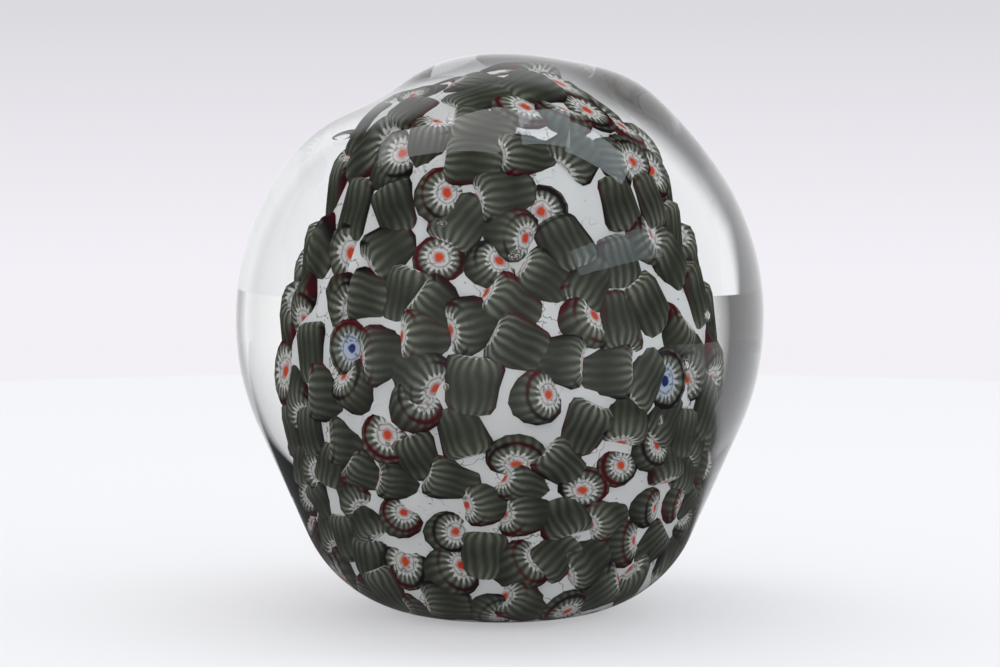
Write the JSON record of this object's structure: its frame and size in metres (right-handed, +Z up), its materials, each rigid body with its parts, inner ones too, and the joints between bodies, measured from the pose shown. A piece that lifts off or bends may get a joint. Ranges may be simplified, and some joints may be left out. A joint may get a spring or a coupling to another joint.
{
  "type": "paperweight",
  "caption": "Round clear glass paperweight on a small flat base, holding a white core covered with close-packed slices of striped olive cane with red centres.",
  "frame": {"origin": "middle of the flat base, on the surface it stands on", "axes": "+Z up out of the base, -Y towards the viewer of the face side, +X to that viewer's right"},
  "size_m": [0.08, 0.08, 0.0845],
  "materials": {
    "clear_glass": "fire-polished clear soda-lime glass, faintly warm, ground flat underneath",
    "opal_white": "opaque pale grey-white opal glass",
    "aubergine_glass": "very dark transparent aubergine glass, deep red where thin",
    "olive_glass": "grey-olive glass with soft white stripes drawn along the cane",
    "white_star_glass": "opaque white toothed star with thin grey rings",
    "red_glass": "opaque orange-red centre rod",
    "blue_star_glass": "pale blue and white toothed star",
    "blue_glass": "opaque indigo centre rod"
  },
  "bodies": {
    "root": {"clear_casing": "clear_glass", "slice_bodies_odd": "olive_glass", "slice_bodies_row01": "olive_glass", "slice_bodies_row02": "olive_glass", "slice_bodies_row03": "olive_glass", "slice_bodies_row04": "olive_glass", "slice_bodies_row05": "olive_glass", "slice_bodies_row06": "olive_glass", "slice_bodies_row07": "olive_glass", "slice_bodies_row08": "olive_glass", "slice_bodies_row09": "olive_glass", "slice_bodies_row10": "olive_glass", "slice_bodies_row11": "olive_glass", "slice_bodies_row12": "olive_glass", "slice_centres_odd": "blue_glass", "slice_centres_row01": "red_glass", "slice_centres_row02": "red_glass", "slice_centres_row03": "red_glass", "slice_centres_row04": "red_glass", "slice_centres_row05": "red_glass", "slice_centres_row06": "red_glass", "slice_centres_row07": "red_glass", "slice_centres_row08": "red_glass", "slice_centres_row09": "red_glass", "slice_centres_row10": "red_glass", "slice_centres_row11": "red_glass", "slice_centres_row12": "red_glass", "slice_jackets_odd": "aubergine_glass", "slice_jackets_row01": "aubergine_glass", "slice_jackets_row02": "aubergine_glass", "slice_jackets_row03": "aubergine_glass", "slice_jackets_row04": "aubergine_glass", "slice_jackets_row05": "aubergine_glass", "slice_jackets_row06": "aubergine_glass", "slice_jackets_row07": "aubergine_glass", "slice_jackets_row08": "aubergine_glass", "slice_jackets_row09": "aubergine_glass", "slice_jackets_row10": "aubergine_glass", "slice_jackets_row11": "aubergine_glass", "slice_jackets_row12": "aubergine_glass", "slice_stars_odd": "blue_star_glass", "slice_stars_row01": "white_star_glass", "slice_stars_row02": "white_star_glass", "slice_stars_row03": "white_star_glass", "slice_stars_row04": "white_star_glass", "slice_stars_row05": "white_star_glass", "slice_stars_row06": "white_star_glass", "slice_stars_row07": "white_star_glass", "slice_stars_row08": "white_star_glass", "slice_stars_row09": "white_star_glass", "slice_stars_row10": "white_star_glass", "slice_stars_row11": "white_star_glass", "slice_stars_row12": "white_star_glass", "white_ground": "opal_white"}
  },
  "joints": []
}
